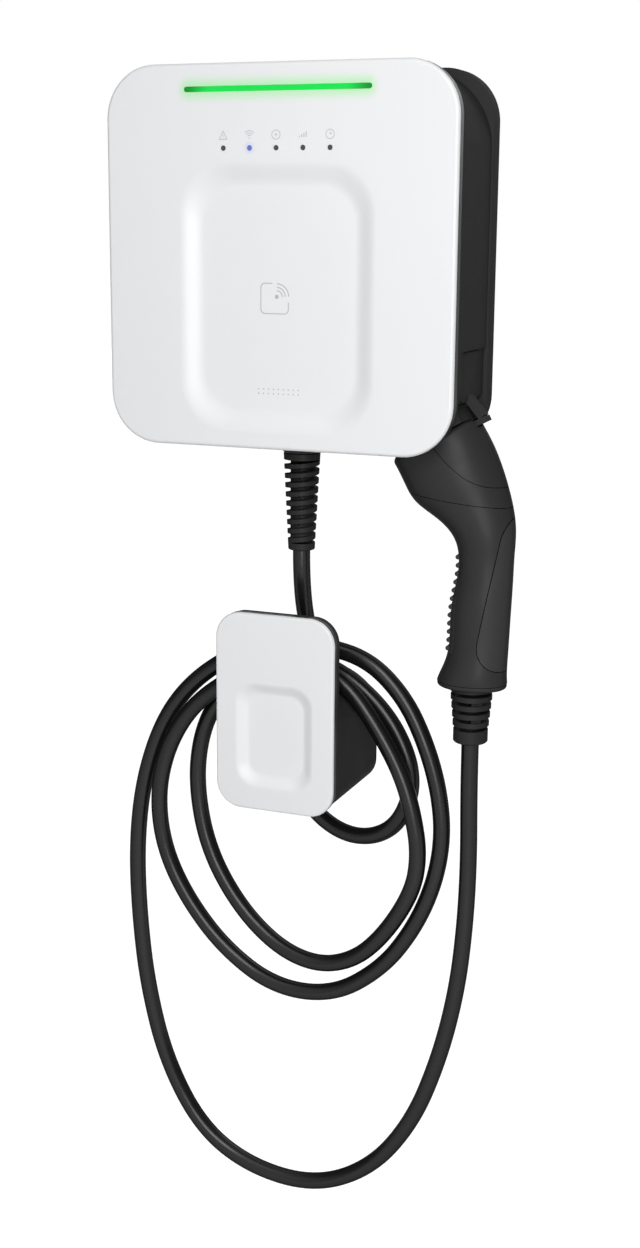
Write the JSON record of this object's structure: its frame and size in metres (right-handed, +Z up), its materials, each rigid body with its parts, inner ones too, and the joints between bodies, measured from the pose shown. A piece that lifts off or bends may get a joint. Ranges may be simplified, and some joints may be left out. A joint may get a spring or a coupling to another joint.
{
  "type": "ev wallbox",
  "caption": "Wall-mounted car charger with a dished white front, tethered cable looped over a separate holder, and a plug hung in a side holster.",
  "frame": {"origin": "wall plane at the middle of the main unit's four wall holes", "axes": "+X to the right seen from the front, +Y into the wall, +Z up; the cable holder hangs below on the same wall plane"},
  "size_m": [0.3466, 0.108, 0.9689],
  "materials": {
    "white_shell": "satin",
    "black_case": "fine matte grain",
    "plug_shell": "satin",
    "grip_rubber": "soft touch",
    "boot_rubber": "matt",
    "seal_rubber": "matt",
    "cable_sheath": "satin sheath",
    "contact_metal": "silver plated",
    "bar_green": "lit diffuser",
    "lens_blue": "lit lens",
    "lens_dark": "clear dark lens",
    "circuit_board": "solder mask",
    "screw_steel": "zinc plated",
    "device_grey": "matt",
    "core_blue": "matt"
  },
  "bodies": {
    "unit": {"cable_boot": "boot_rubber", "cable_gland": "black_case", "card_reader_board": "circuit_board", "case_screws": "screw_steel", "charge_cable": "cable_sheath", "connector_boot": "boot_rubber", "connector_end_ring": "plug_shell", "connector_handle": "plug_shell", "connector_head": "plug_shell", "connector_nose": "plug_shell", "contact_sleeves": "contact_metal", "contactor": "device_grey", "control_board": "circuit_board", "cover_base": "black_case", "cover_gasket": "seal_rubber", "cover_screws": "screw_steel", "din_rail": "screw_steel", "energy_meter": "device_grey", "fascia": "white_shell", "finger_grip": "grip_rubber", "gland_locknut": "black_case", "grip_inlay": "grip_rubber", "holder_body": "black_case", "holder_face": "white_shell", "holder_rim": "black_case", "holder_screws": "screw_steel", "holster_socket": "black_case", "indicator_board": "circuit_board", "indicator_lens_lit": "lens_blue", "indicator_lenses": "lens_dark", "latch_pin": "screw_steel", "latch_spring": "screw_steel", "leakage_sensor": "device_grey", "light_bar": "bar_green", "light_bar_board": "circuit_board", "main_housing": "black_case", "output_cores": "core_blue", "power_supply": "device_grey", "rear_case": "black_case", "residual_current_unit": "device_grey", "supply_grommet": "boot_rubber", "terminal_block": "device_grey"},
    "latch": {"holster_latch": "black_case"}
  },
  "joints": [
    {"name": "latch_swing", "type": "hinge", "parent": "unit", "child": "latch", "pos_m": [0.1365, -0.05, -0.0842], "axis": [0, -1, 0], "range_deg": [0, 12], "stiffness_Nm_per_rad": 0.08, "springref_deg": -8.59}
  ]
}
